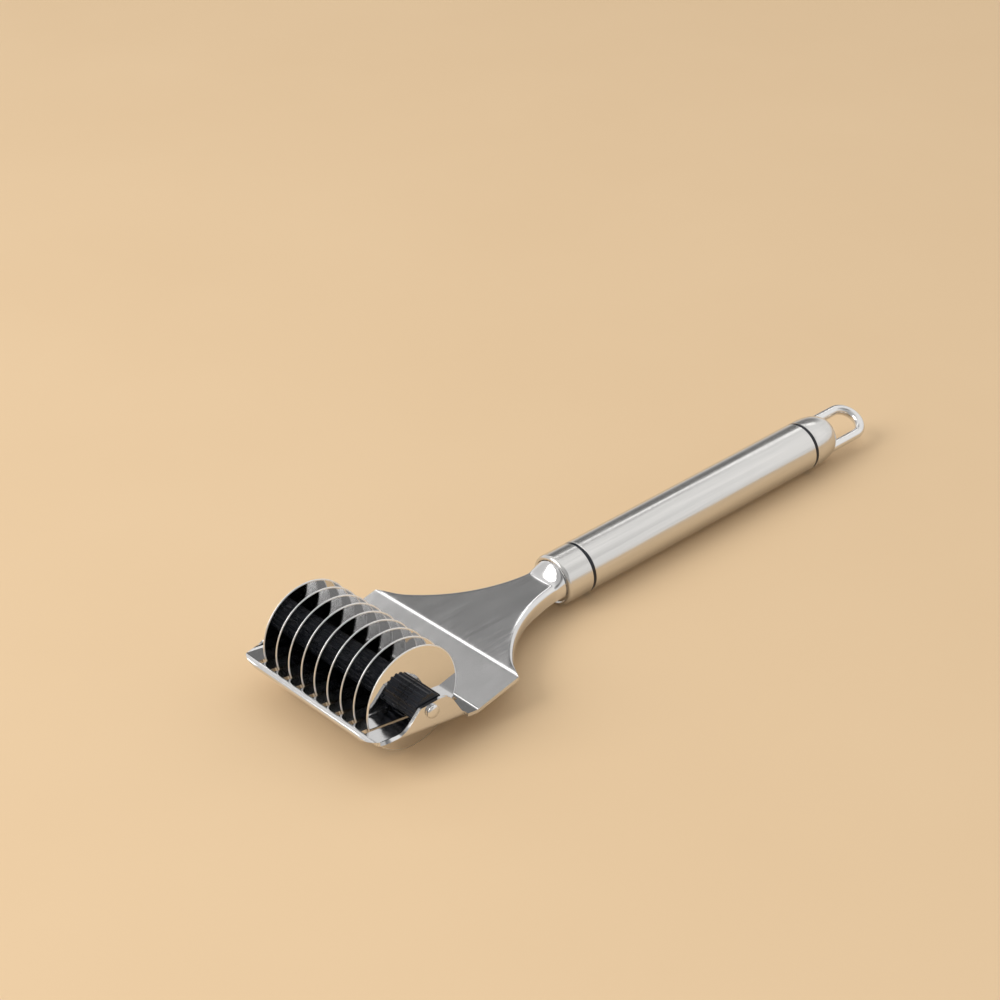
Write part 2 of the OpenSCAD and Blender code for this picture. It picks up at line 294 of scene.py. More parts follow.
def new_material(name):
    """A new material, with its node tree and its main shader."""
    material = bpy.data.materials.new(name)
    material.use_nodes = True
    tree = material.node_tree
    return material, tree, tree.nodes["Principled BSDF"]


def add(tree, kind, settings=(), **inputs):
    """Adds a node, with its settings and its inputs as values or as sockets to link."""
    made = tree.nodes.new(kind)
    for name, value in dict(settings).items():
        setattr(made, name, value)
    for name, value in inputs.items():
        join(tree, made.inputs[name.replace("_", " ")], value)
    return made


def join(tree, target, value):
    """Links a socket to an input, or sets the input to a value."""
    if isinstance(value, bpy.types.NodeSocket):
        tree.links.new(value, target)
    else:
        target.default_value = value


def calc(tree, operation, *values):
    """One math node, with its result."""
    made = tree.nodes.new("ShaderNodeMath")
    made.operation = operation
    for i, value in enumerate(values):
        join(tree, made.inputs[i], value)
    return made.outputs[0]


def spread(tree, value, low, high, new_low, new_high):
    """Maps a range of values to another one."""
    made = add(tree, "ShaderNodeMapRange", Value=value, From_Min=low, From_Max=high,
               To_Min=new_low, To_Max=new_high)
    return made.outputs["Result"]


def smooth_step(tree, value, low, high, new_low=0.0, new_high=1.0):
    """Maps a range of values to another one, with soft ends."""
    made = add(tree, "ShaderNodeMapRange", {"interpolation_type": "SMOOTHSTEP"}, Value=value,
               From_Min=low, From_Max=high, To_Min=new_low, To_Max=new_high)
    return made.outputs["Result"]


def blend(tree, first, second, share):
    """Two values mixed, by the share of the first one."""
    rest = calc(tree, "MULTIPLY", second, 1 - share)
    return calc(tree, "ADD", calc(tree, "MULTIPLY", first, share), rest)


def streaks(tree, across, along, detail=2.0):
    """Noise drawn out along the handle, with its scale across and along it."""
    coords = add(tree, "ShaderNodeTexCoord")
    mapping = add(tree, "ShaderNodeMapping", Vector=coords.outputs["Object"],
                  Scale=(across, along, across))
    noise = add(tree, "ShaderNodeTexNoise", Vector=mapping.outputs[0], Scale=1.0, Detail=detail)
    return noise.outputs["Fac"]


def speckle(tree, scale, detail=3.0):
    """Even noise of the given scale."""
    coords = add(tree, "ShaderNodeTexCoord")
    noise = add(tree, "ShaderNodeTexNoise", Vector=coords.outputs["Object"], Scale=scale,
                Detail=detail)
    return noise.outputs["Fac"]


def tint(tree, value, dark, light):
    """Colour that goes from dark to light with a value from 0 to 1."""
    ramp = add(tree, "ShaderNodeValToRGB", Fac=value)
    ramp.color_ramp.elements[0].color = (*dark, 1)
    ramp.color_ramp.elements[1].color = (*light, 1)
    return ramp.outputs["Color"]


# Brushed steel: how far its fine and its broad streaks are drawn out, how much wider the broad ones
# are, the share of the fine ones, the scale of its clouds, and the streaks' share in its gloss
FINE_STRETCH = 60
BROAD_STRETCH = 160
BROAD_STEP = 6
FINE_SHARE = 0.6
CLOUD_SCALE = 140
STREAK_SHARE = 0.7

# Disc steel: the scales of its rings and clouds, the rings' share and bump, and the share of its
# width over which the ground edge starts
RING_SCALE = 4200.0
DISC_CLOUDS = 220
RING_SHARE = 0.5
RING_BUMP = 0.05
EDGE_START = 0.2

# Black plastic: the scales of its clouds and grain, and the grain's bump
PLASTIC_CLOUDS = 260
PLASTIC_GRAIN = 3200
GRAIN_BUMP = 0.25

# Range that most of the noise lies in, and how far the bumps stand out, in metres
NOISE_RANGE = (0.3, 0.7)
BUMP_H = 0.00004
RING_BUMP_H = 0.00002


def brushed_steel(name, dark, light, rough, grain, depth):
    """Steel with a fine grain along the handle and softly uneven gloss."""
    material, tree, shader = new_material(name)
    fine = streaks(tree, grain, grain / FINE_STRETCH)
    broad = streaks(tree, grain / BROAD_STEP, grain / BROAD_STRETCH)
    mixed = blend(tree, fine, broad, FINE_SHARE)
    join(tree, shader.inputs["Base Color"], tint(tree, mixed, dark, light))
    gloss = blend(tree, mixed, speckle(tree, CLOUD_SCALE), STREAK_SHARE)
    join(tree, shader.inputs["Roughness"], spread(tree, gloss, *NOISE_RANGE, *rough))
    bump = add(tree, "ShaderNodeBump", Strength=depth, Distance=BUMP_H, Height=mixed)
    join(tree, shader.inputs["Normal"], bump.outputs[0])
    shader.inputs["Metallic"].default_value = 1.0
    return material


def roller_radius(tree):
    """Distance of a point from the roller axis."""
    coords = add(tree, "ShaderNodeTexCoord")
    centred = add(tree, "ShaderNodeVectorMath", {"operation": "SUBTRACT"})
    join(tree, centred.inputs[0], coords.outputs["Object"])
    centred.inputs[1].default_value = (0, 0, AXIS_Z * MM)
    parts = add(tree, "ShaderNodeSeparateXYZ", Vector=centred.outputs[0])
    flat = add(tree, "ShaderNodeCombineXYZ", Y=parts.outputs["Y"], Z=parts.outputs["Z"])
    length = add(tree, "ShaderNodeVectorMath", {"operation": "LENGTH"})
    join(tree, length.inputs[0], flat.outputs[0])
    return length.outputs["Value"]


def mirror_steel(name, dark, light, rough, edge, edge_rough):
    """Polished disc steel with faint rings about the roller axis and a paler ground edge."""
    material, tree, shader = new_material(name)
    radius = roller_radius(tree)
    rings = add(tree, "ShaderNodeTexNoise", {"noise_dimensions": "1D"}, Scale=1.0, Detail=3.0,
                W=calc(tree, "MULTIPLY", radius, RING_SCALE))
    mixed = blend(tree, rings.outputs["Fac"], speckle(tree, DISC_CLOUDS), RING_SHARE)
    start = (BLADE_R - EDGE_W) * MM
    full = (BLADE_R - EDGE_W * (1 - EDGE_START)) * MM
    ground = spread(tree, radius, start, full, 0.0, 1.0)
    colour = add(tree, "ShaderNodeMix", {"data_type": "RGBA"})
    join(tree, colour.inputs["Factor"], ground)
    join(tree, colour.inputs[6], tint(tree, mixed, dark, light))
    colour.inputs[7].default_value = (*edge, 1)
    join(tree, shader.inputs["Base Color"], colour.outputs[2])
    gloss = spread(tree, mixed, *NOISE_RANGE, *rough)
    added = calc(tree, "MULTIPLY", ground, edge_rough)
    join(tree, shader.inputs["Roughness"], calc(tree, "ADD", gloss, added))
    bump = add(tree, "ShaderNodeBump", Strength=RING_BUMP, Distance=RING_BUMP_H,
               Height=rings.outputs["Fac"])
    join(tree, shader.inputs["Normal"], bump.outputs[0])
    shader.inputs["Metallic"].default_value = 1.0
    return material


def moulded_plastic(name, dark, light, rough, specular):
    """Black moulded plastic with a fine grain."""
    material, tree, shader = new_material(name)
    cloudy = speckle(tree, PLASTIC_CLOUDS)
    join(tree, shader.inputs["Base Color"], tint(tree, cloudy, dark, light))
    join(tree, shader.inputs["Roughness"], spread(tree, cloudy, *NOISE_RANGE, *rough))
    grain = speckle(tree, PLASTIC_GRAIN)
    bump = add(tree, "ShaderNodeBump", Strength=GRAIN_BUMP, Distance=BUMP_H, Height=grain)
    join(tree, shader.inputs["Normal"], bump.outputs[0])
    shader.inputs["Specular IOR Level"].default_value = specular
    return material


sheet_steel = brushed_steel("sheet_steel", dark=(0.68, 0.68, 0.69), light=(0.78, 0.78, 0.79),
                            rough=(0.09, 0.17), grain=2600, depth=0.12)
tube_steel = brushed_steel("tube_steel", dark=(0.58, 0.58, 0.58), light=(0.80, 0.79, 0.78),
                           rough=(0.15, 0.26), grain=2200, depth=0.5)
polished_steel = brushed_steel("polished_steel", dark=(0.70, 0.70, 0.71), light=(0.80, 0.80, 0.80),
                               rough=(0.14, 0.24), grain=1800, depth=0.08)
axle_steel = brushed_steel("axle_steel", dark=(0.58, 0.58, 0.58), light=(0.70, 0.70, 0.70),
                           rough=(0.14, 0.24), grain=1800, depth=0.1)
blade_steel = mirror_steel("blade_steel", dark=(0.75, 0.75, 0.75), light=(0.83, 0.83, 0.83),
                           rough=(0.02, 0.05), edge=(0.86, 0.86, 0.87), edge_rough=0.3)
black_plastic = moulded_plastic("black_plastic", dark=(0.007, 0.009, 0.014),
                                light=(0.015, 0.018, 0.027), rough=(0.24, 0.34), specular=0.35)


def side_path():
    """Upper face of the sheet seen from the side, from the lip to the neck, with rounded bends."""
    corners = [
        (FRONT_Y, FRONT_Z - LIP_H),
        (FRONT_Y, FRONT_Z),
        (VALLEY_Y, VALLEY_Z),
        (RIDGE_Y, PLATE_Z),
        (NECK_END, PLATE_Z),
    ]
    return rounded(corners, [0, LIP_BEND, VALLEY_BEND, RIDGE_BEND, 0], steps=PATH_STEPS)


# The path, and how many of its points there are up to the rear end of the lip's bend
PATH = side_path()
LIP_STEPS = PATH_STEPS + 2


def top_z(y):
    """Height of the upper face of the sheet at a place behind the lip."""
    for here, there in zip(PATH[LIP_STEPS - 1:], PATH[LIP_STEPS:]):
        if here[0] <= y <= there[0]:
            return here[1] + (there[1] - here[1]) * (y - here[0]) / (there[0] - here[0])
    return PLATE_Z


BASE_RISE = Vector((FRONT_Z - VALLEY_Z, VALLEY_Y - FRONT_Y)).normalized()


def ear_outline():
    """Upper edge of an ear from front to rear, as points of (foot on the slotted plate, height)."""
    brow = Vector((BROW_Y, EAR_TOP - BROW_R))
    back = Vector((BACK_Y, EAR_TOP - BACK_R))

    def touch(point, centre, radius, turn):
        away = point - centre
        return math.atan2(away.y, away.x) + turn * math.acos(radius / away.length)

    def arc(centre, radius, start, end, steps):
        angles = [start + (end - start) * k / steps for k in range(steps + 1)]
        return [centre + radius * Vector((math.cos(a), math.sin(a))) for a in angles]

    start = touch(EAR_FRONT, brow, BROW_R, -1) + 2 * math.pi
    points = arc(brow, BROW_R, start, math.pi / 2, BROW_STEPS)
    points += arc(back, BACK_R, math.pi / 2, touch(EAR_REAR, back, BACK_R, 1), BACK_STEPS)
    first = EAR_FRONT + EAR_FOOT * Vector((-BASE_RISE.y, BASE_RISE.x))
    last = EAR_FRONT + EAR_FOOT * (points[0] - EAR_FRONT).normalized()
    foot = []
    for k in range(FOOT_STEPS + 1):
        t = k / FOOT_STEPS
        foot.append(first.lerp(EAR_FRONT, t).lerp(EAR_FRONT.lerp(last, t), t))
    front = [last.lerp(points[0], k / EAR_FRONT_STEPS) for k in range(1, EAR_FRONT_STEPS)]
    rear = [points[-1].lerp(EAR_REAR, k / EAR_REAR_STEPS) for k in range(1, EAR_REAR_STEPS + 1)]
    points = foot + front + points + rear
    outline = []
    for point in points:
        height = (point - Vector((FRONT_Y, FRONT_Z))).dot(BASE_RISE)
        outline.append((point.x - height * BASE_RISE.x, height))
    return outline


EAR = ear_outline()

# Points across the sheet: the slots' edges on the flat, then the bend and the rest of each side
SLOT_EDGES = [x + side * SLOT_HALF for x in BLADE_X for side in (-1, 1)]
COLUMNS = [-EAR_OUT, -FLAT_HALF] + SLOT_EDGES + [FLAT_HALF, EAR_OUT]
EAR_BENDS = 6
EAR_ROWS = 5
SIDE_COUNT = EAR_BENDS + EAR_ROWS

# Rows along the sheet: the least gap between two, and the slack with which places are compared
ROW_GAP = 0.05
LIP_CLEAR = 0.03
NOTCH_NEAR = 0.02
SLOT_NEAR = 0.01
CORNER_ANGLES = [math.radians(a) for a in range(30, 90, 6)]
NOTCH_ANGLES = [math.radians(a) for a in range(-60, 61, 20)]
FLARE_ROWS = 44
RAMP_ROWS = 12
NECK_ROWS = 3
RAMP_STRAIGHT = 0.3


def corner_half(y):
    """Half the width that the rounded front corner leaves at a place."""
    back = y - (FRONT_Y + CORNER_R)
    return EAR_OUT - CORNER_R + math.sqrt(max(CORNER_R ** 2 - min(back, 0) ** 2, 0))


def ease(t):
    """Goes from 0 to 1 with a soft start and a soft end."""
    return t * t * (3 - 2 * t)


def ear_reach(y):
    """How far an ear reaches past the flat plate, measured along its inner face."""
    quarter = math.pi / 2 * EAR_BEND
    rim = min(max((corner_half(y) - FLAT_HALF) / (EAR_BEND + SHEET_T), 0), 1)
    if y < EAR[0][0]:
        return math.asin(rim) * EAR_BEND * CORNER_TURN / (math.pi / 2)
    for (here, low), (there, high) in zip(EAR, EAR[1:]):
        if here <= y <= there:
            height = low + (high - low) * (y - here) / (there - here)
            if height >= EAR_BEND:
                return quarter + height - EAR_BEND
            return EAR_BEND * math.acos(1 - max(height, 0) / EAR_BEND)
    return 0


def base_rows():
    """Places along the slotted plate at which its mesh has a row of points, from front to rear."""
    corner_y = FRONT_Y + CORNER_R
    places = [SLOT_FRONT, SLOT_REAR, corner_y, NOTCH_Y - NOTCH_HALF, NOTCH_Y + NOTCH_HALF]
    places += [corner_y - CORNER_R * math.cos(a) for a in CORNER_ANGLES]
    places += [foot for foot, height in EAR]
    places += [NOTCH_Y + NOTCH_HALF * math.sin(a) for a in NOTCH_ANGLES]
    places += [y for y, z in PATH[LIP_STEPS:] if y < RIDGE_Y]
    start = PATH[LIP_STEPS - 1][0] + LIP_CLEAR
    kept = []
    for y in sorted(places):
        if y > start and (not kept or y - kept[-1] > ROW_GAP):
            kept.append(y)
    return kept


def flare_row(angle):
    """Turned down edge of one row of the flared plate, from its flat down, as (x, y, drop)."""
    near = ease(min((FLARE_SWEEP - angle) * FLARE_R / FLANGE_RUN, 1))
    bend = FLANGE_BEND * (FLANGE_START + (1 - FLANGE_START) * near)
    edge_y = FLARE_Y - FLARE_R * math.sin(angle)
    grown = min((edge_y - RIDGE_Y) / (TAPER_Y - RIDGE_Y), 1)
    depth = (FLANGE_BEND + (FLANGE_H - FLANGE_BEND) * grown) * near
    turn = math.acos(max(1 - depth / bend, 0))
    folds = []
    for k in range(EAR_BENDS + 1):
        a = turn * k / EAR_BENDS
        folds.append((bend * (1 - math.sin(a)), bend * (1 - math.cos(a))))
    low = depth - bend
    if low > 0:
        folds += [(0, bend + low * k / EAR_ROWS) for k in range(1, EAR_ROWS + 1)]
    else:
        folds += folds[-1:] * EAR_ROWS
    edge = []
    for out, down in folds:
        radius = FLARE_R + out
        edge.append((FLARE_X - radius * math.cos(angle), FLARE_Y - radius * math.sin(angle), down))
    return edge


def plate_points(y, z, half, strip=False):
    """Points across one row of the plate, up to the ears' bends or over the width of a strip."""
    limit = half if strip else min(half, FLAT_HALF)
    points = []
    for x in COLUMNS:
        if abs(x) > FLAT_HALF and not strip:
            points.append(None)
        else:
            points.append((max(-limit, min(limit, x)), y, z))
    return points


def side_points(y, z, side, reach):
    """Points of one row of an ear, up its bend and its flat."""
    quarter = math.pi / 2 * EAR_BEND
    points = []
    for k in range(1, SIDE_COUNT + 1):
        if k <= EAR_BENDS:
            far = min(quarter * k / EAR_BENDS, reach)
        else:
            far = quarter + max(reach - quarter, 0) * (k - EAR_BENDS) / EAR_ROWS
            far = min(far, reach)
        turn = min(far, quarter) / EAR_BEND
        out = FLAT_HALF + EAR_BEND * math.sin(turn)
        up = EAR_BEND * (1 - math.cos(turn)) + max(far - quarter, 0)
        points.append((side * out, y + BASE_RISE.x * up, z + BASE_RISE.y * up))
    return points


def lip_rows():
    """Rows of the lip, whose lower edge rises at its ends."""
    for y, z in PATH[:LIP_STEPS - 1]:
        points = plate_points(y, z, corner_half(y))
        end_z = FRONT_Z - (FRONT_Z - z) * LIP_END
        for i in (1, -2):
            points[i] = (points[i][X], y, end_z)
        yield "lip", points, [], []


def base_plate_rows():
    """Rows of the slotted plate and its ears, the notches behind them, and the sloping plate."""
    for y in base_rows():
        z = top_z(y)
        if y < NOTCH_Y - NOTCH_HALF + NOTCH_NEAR:
            reach = ear_reach(y)
            points = plate_points(y, z, corner_half(y))
            yield "ear", points, side_points(y, z, -1, reach), side_points(y, z, 1, reach)
        elif y < NOTCH_Y + NOTCH_HALF - NOTCH_NEAR:
            points = plate_points(y, z, corner_half(y))
            edge = NOTCH_X - math.sqrt(NOTCH_HALF ** 2 - (y - NOTCH_Y) ** 2)
            points[1] = (-edge, y, z)
            points[-2] = (edge, y, z)
            yield "notch", points, [], []
        else:
            yield "strip", plate_points(y, z, EAR_OUT, strip=True), [], []


def flare_rows():
    """Rows of the flared plate and its turned down sides, from the ridge to the ramp."""
    for k in range(FLARE_ROWS + 1):
        edge = flare_row(FLARE_SWEEP * (1 - k / FLARE_ROWS))
        edge_x, y = edge[0][:2]
        if y > RAMP_Y - RAMP_CLEAR:
            break
        z = top_z(y)
        points = [(x / EAR_OUT * edge_x, y, z) for x in COLUMNS]
        left = [(-x, side_y, z - drop) for x, side_y, drop in edge[1:]]
        right = [(x, side_y, z - drop) for x, side_y, drop in edge[1:]]
        yield "flare", points, left, right


def neck_rows():
    """Rows up the ramp from the flat plate to the half round neck, and along the neck."""
    edge_x = FLARE_X - math.sqrt(FLARE_R ** 2 - (FLARE_Y - RAMP_Y) ** 2) - FLANGE_BEND
    quarter = FLANGE_BEND * math.pi / 2
    low = FLANGE_H - FLANGE_BEND
    half_len = edge_x + quarter + low
    low_turn = math.pi / 2 + math.asin((HANDLE_Z - PLATE_Z + FLANGE_H) / NECK_R)
    flat_runs = [x / EAR_OUT * edge_x for x in COLUMNS]
    side_runs = [edge_x + quarter * k / EAR_BENDS for k in range(1, EAR_BENDS + 1)]
    side_runs += [side_runs[-1] + low * k / EAR_ROWS for k in range(1, EAR_ROWS + 1)]

    def channel(run):
        """Place on the flared plate and its turned down side, by the length along them."""
        if run <= edge_x:
            return run, PLATE_Z
        if run < edge_x + quarter:
            a = (run - edge_x) / FLANGE_BEND
            return edge_x + FLANGE_BEND * math.sin(a), PLATE_Z - FLANGE_BEND * (1 - math.cos(a))
        return edge_x + FLANGE_BEND, PLATE_Z - FLANGE_BEND - (run - edge_x - quarter)

    def point(side, run, y, share):
        """Point between the channel and the half round, by the share of the half round."""
        flat_x, flat_z = channel(run)
        turn = run / half_len * low_turn
        round_x = NECK_R * math.sin(turn)
        round_z = HANDLE_Z + NECK_R * math.cos(turn)
        return side * (flat_x + (round_x - flat_x) * share), y, flat_z + (round_z - flat_z) * share

    for k in range(RAMP_ROWS + NECK_ROWS + 1):
        t = min(k / RAMP_ROWS, 1)
        y = RAMP_Y + (SLEEVE_Y - RAMP_Y) * t
        y += (NECK_END - SLEEVE_Y) * max(k - RAMP_ROWS, 0) / NECK_ROWS
        share = RAMP_STRAIGHT * t + (1 - RAMP_STRAIGHT) * ease(t)
        points = [point(math.copysign(1, run), abs(run), y, share) for run in flat_runs]
        left = [point(-1, run, y, share) for run in side_runs]
        right = [point(1, run, y, share) for run in side_runs]
        yield "neck", points, left, right


def flat_faces(here, there):
    """Faces of the plate between two rows, without the slots."""
    mid = (here["y"] + there["y"]) / 2
    in_slots = SLOT_FRONT - SLOT_NEAR < mid < SLOT_REAR + SLOT_NEAR and here["kind"] != "lip"
    faces = []
    for i in range(len(COLUMNS) - 1):
        slot = 2 <= i < len(COLUMNS) - 2 and i % 2 == 0
        quad = [here["flat"][i], here["flat"][i + 1], there["flat"][i + 1], there["flat"][i]]
        if None not in quad and not (in_slots and slot):
            faces.append(quad)
    return faces


def side_faces(here, there):
    """Faces of both sides between two rows: ears, or turned down edges."""
    inner = 0 if here["kind"] in ("flare", "neck") else 1
    faces = []
    for side, start in (("left", inner), ("right", len(COLUMNS) - 1 - inner)):
        a = [here["flat"][start]] + here[side]
        b = [there["flat"][start]] + there[side]
        faces += [[a[i], a[i + 1], b[i + 1], b[i]] for i in range(SIDE_COUNT)]
    return faces


def head_mesh():
    """Upper face of the whole bent sheet: rows of points from the lip to the neck."""
    verts, faces, rows = [], [], []

    def numbered(points):
        numbers = []
        for point in points:
            if point is None:
                numbers.append(None)
            else:
                numbers.append(len(verts))
                verts.append(point)
        return numbers

    every_row = chain(lip_rows(), base_plate_rows(), flare_rows(), neck_rows())
    for kind, points, left, right in every_row:
        y = points[len(points) // 2][Y]
        rows.append({"kind": kind, "y": y, "flat": numbered(points),
                     "left": numbered(left), "right": numbered(right)})
    for here, there in zip(rows, rows[1:]):
        faces += flat_faces(here, there)
        if here["left"] and there["left"]:
            faces += side_faces(here, there)
    return verts, faces


def make_head():
    """The bent sheet head: one sheet with its thickness and softened edges."""
    verts, faces = head_mesh()
    piece = place("bent_head", verts, faces, "frame", sheet_steel, ["head_plate"])
    face_up(piece)
    thick = piece.modifiers.new("thickness", "SOLIDIFY")
    thick.thickness = SHEET_T * MM
    thick.offset = -1
    thick.use_quality_normals = True
    soft = piece.modifiers.new("soft_edges", "BEVEL")
    soft.width = SHEET_SOFT * MM
    soft.segments = SOFT_STEPS
    soft.limit_method = "ANGLE"
    soft.angle_limit = SOFT_ANGLE
    soft.harden_normals = False
    settle(piece)
    clean(piece, near=TINY_EDGE, sides=HOLE_SIDES)
    return weigh_normals(piece)


# Height of a face's normal below which it looks down, and the share of such faces on a sheet that
# lies upside down
LOOKS_DOWN = -0.5
UPSIDE_DOWN = 1 / 3


def face_up(piece):
    """Turns the faces of a sheet over where it lies upside down."""
    downward = [face for face in piece.data.polygons if face.normal.z < LOOKS_DOWN]
    if len(downward) > len(piece.data.polygons) * UPSIDE_DOWN:
        made = bmesh.new()
        made.from_mesh(piece.data)
        bmesh.ops.reverse_faces(made, faces=made.faces)
        made.to_mesh(piece.data)
        made.free()


def make_blades():
    """Nine thin discs with a ground and rounded edge."""
    half = BLADE_T / 2
    side = [(ROLLER_BORE, half)]
    side += [(BLADE_R - EDGE_W * inset, half * share) for inset, share in EDGE_STEPS]
    profile = side + [(BLADE_R, 0)] + [(radius, -reach) for radius, reach in reversed(side)]
    for node, x in zip(BLADES, BLADE_X):
        verts, faces = lathe(profile, (x, 0, AXIS_Z), (1, 0, 0), steps=BLADE_STEPS)
        piece = place("disc_" + node, verts, faces, "roller", blade_steel, [node])
        weigh_normals(piece)


def spacer_outline():
    """Ribbed outline of a spacer, as (angle, radius) points with narrow rounded ribs."""
    outline = []
    for k in range(RIB_COUNT * RIB_STEPS):
        angle = 2 * math.pi * k / (RIB_COUNT * RIB_STEPS)
        wave = math.cos(angle * RIB_COUNT)
        share = 0.5 + 0.5 * math.tanh(RIB_STEEP * (wave - RIB_SHIFT))
        outline.append((angle, SPACER_R - RIB_H * (1 - share)))
    return outline


def make_spacers():
    """Ribbed black spacers between the blades and at the ends."""
    outline = spacer_outline()
    count = len(outline)
    bore, inset, whole = [], [], []
    for angle, radius in outline:
        sin, cos = math.sin(angle), math.cos(angle)
        bore.append((ROLLER_BORE * sin, ROLLER_BORE * cos))
        inset.append(((radius - SPACER_CHAMFER) * sin, (radius - SPACER_CHAMFER) * cos))
        whole.append((radius * sin, radius * cos))
    for node in INNER_SPACERS + END_SPACERS:
        low, high = span(node, X)
        levels = [(low, bore), (low, inset), (low + SPACER_CHAMFER, whole),
                  (high - SPACER_CHAMFER, whole), (high, inset), (high, bore)]
        verts = [(x, y, AXIS_Z + z) for x, ring in levels for y, z in ring]
        faces = []
        for i in range(len(levels)):
            a, b = i * count, (i + 1) % len(levels) * count
            for k in range(count):
                faces.append((a + k, a + (k + 1) % count, b + (k + 1) % count, b + k))
        piece = place("ribbed_" + node, verts, faces, "roller", black_plastic,
                      [node])
        weigh_normals(piece)


def make_axle():
    """The axle between the ears, and its two domed heads with a groove under each dome."""
    reach = span("axle", X)[1]
    profile = [(0, -reach), (AXLE_R, -reach), (AXLE_R, reach), (0, reach)]
    verts, faces = lathe(profile, (0, 0, AXIS_Z), (1, 0, 0), closed=False, steps=AXLE_STEPS)
    place("axle_rod", verts, faces, "frame", axle_steel, ["axle"])
    verts, faces = [], []
    profile = head_profile()
    for side in (-1, 1):
        more, quads = lathe(profile, (side * reach, 0, AXIS_Z), (side, 0, 0), closed=False,
                            steps=HEAD_STEPS)
        faces += [[i + len(verts) for i in quad] for quad in quads]
        verts += more
    piece = place("rivet_heads", verts, faces, "frame", polished_steel,
                  ["axle_heads"])
    weigh_normals(piece)


def head_profile():
    """Profile of an axle head: collar, groove and dome."""
    collar = HEAD_H * COLLAR_H
    groove = HEAD_H * GROOVE_H
    stem = HEAD_H * DOME_H
    profile = [(0, 0), (HEAD_R * RIM_SHARE, 0), (HEAD_R, HEAD_H * BASE_H)]
    profile += [(HEAD_R, collar - COLLAR_SOFT), (HEAD_R * RIM_SHARE, collar)]
    lower, upper = GROOVE_MOUTHS
    profile += [(HEAD_R * lower, collar + GROOVE_SOFT), (HEAD_R * GROOVE_SHARE, groove)]
    profile.append((HEAD_R * upper, groove + GROOVE_SOFT))
    for k in range(DOME_STEPS + 1):
        a = math.pi / 2 * k / DOME_STEPS
        profile.append((HEAD_R * DOME_SHARE * math.cos(a), stem + (HEAD_H - stem) * math.sin(a)))
    return profile


def make_handle():
    """Front sleeve with a rolled rim and a closed mouth, black rings, tube, and domed cap."""
    length = SLEEVE_END - SLEEVE_Y
    mouth = TUBE_BORE - MOUTH_IN
    corners = [(0, MOUTH_DEEP), (mouth, MOUTH_DEEP), (mouth, 0), (TUBE_R, 0), (TUBE_R, length),
               (TUBE_BORE, length), (TUBE_BORE, MOUTH_BACK), (0, MOUTH_BACK)]
    profile = rounded(corners, MOUTH_ROUNDS, steps=8)
    turned("sleeve_shell", "front_sleeve", profile, SLEEVE_Y, tube_steel,
           closed=False)
    outer = TUBE_R - RING_RECESS
    inner = TUBE_BORE - RING_OVERLAP
    corners = [(0, -SPIGOT_L), (inner, -SPIGOT_L), (inner, 0), (outer, 0), (outer, RING_W),
               (inner, RING_W), (inner, RING_W + SPIGOT_L), (0, RING_W + SPIGOT_L)]
    profile = rounded(corners, [0, 0, 0, RING_ROUND, RING_ROUND, 0, 0, 0], steps=3)
    for node, start in (("front_ring", SLEEVE_END), ("rear_ring", TUBE_END)):
        turned(node + "_band", node, profile, start, black_plastic, closed=False)
    length = TUBE_END - TUBE_Y
    corners = [(TUBE_BORE, 0), (TUBE_R, 0), (TUBE_R, length), (TUBE_BORE, length)]
    profile = rounded(corners, [0, TUBE_ROUND, TUBE_ROUND, 0], closed=True, steps=4)
    turned("tube_shell", "handle_tube", profile, TUBE_Y, tube_steel)
    turned("cap_shell", "end_cap", cap_profile(), CAP_Y, tube_steel, closed=False)


def cap_profile():
    """Profile of the end cap: socket for the ring, softened rim and full dome."""
    length = CAP_END - CAP_Y
    profile = [(0, SPIGOT_L), (TUBE_BORE, SPIGOT_L), (TUBE_BORE, 0)]
    profile += [(TUBE_R - TUBE_ROUND, 0), (TUBE_R - CAP_SOFT, CAP_SOFT)]
    for k in range(1, CAP_STEPS):
        a = math.pi / 2 * (k / CAP_STEPS) ** CAP_CROWD
        out = math.cos(a) ** (2 / CAP_FULL)
        along = math.sin(a) ** (2 / CAP_FULL)
        profile.append((TUBE_R * out, length * along))
    return profile + [(0, length)]


def turned(name, node, profile, start, material, closed=True):
    """One piece turned about the handle axis."""
    verts, faces = lathe(profile, (0, start, HANDLE_Z), (0, 1, 0), closed=closed)
    piece = place(name, verts, faces, "frame", material, [node])
    return weigh_normals(piece)


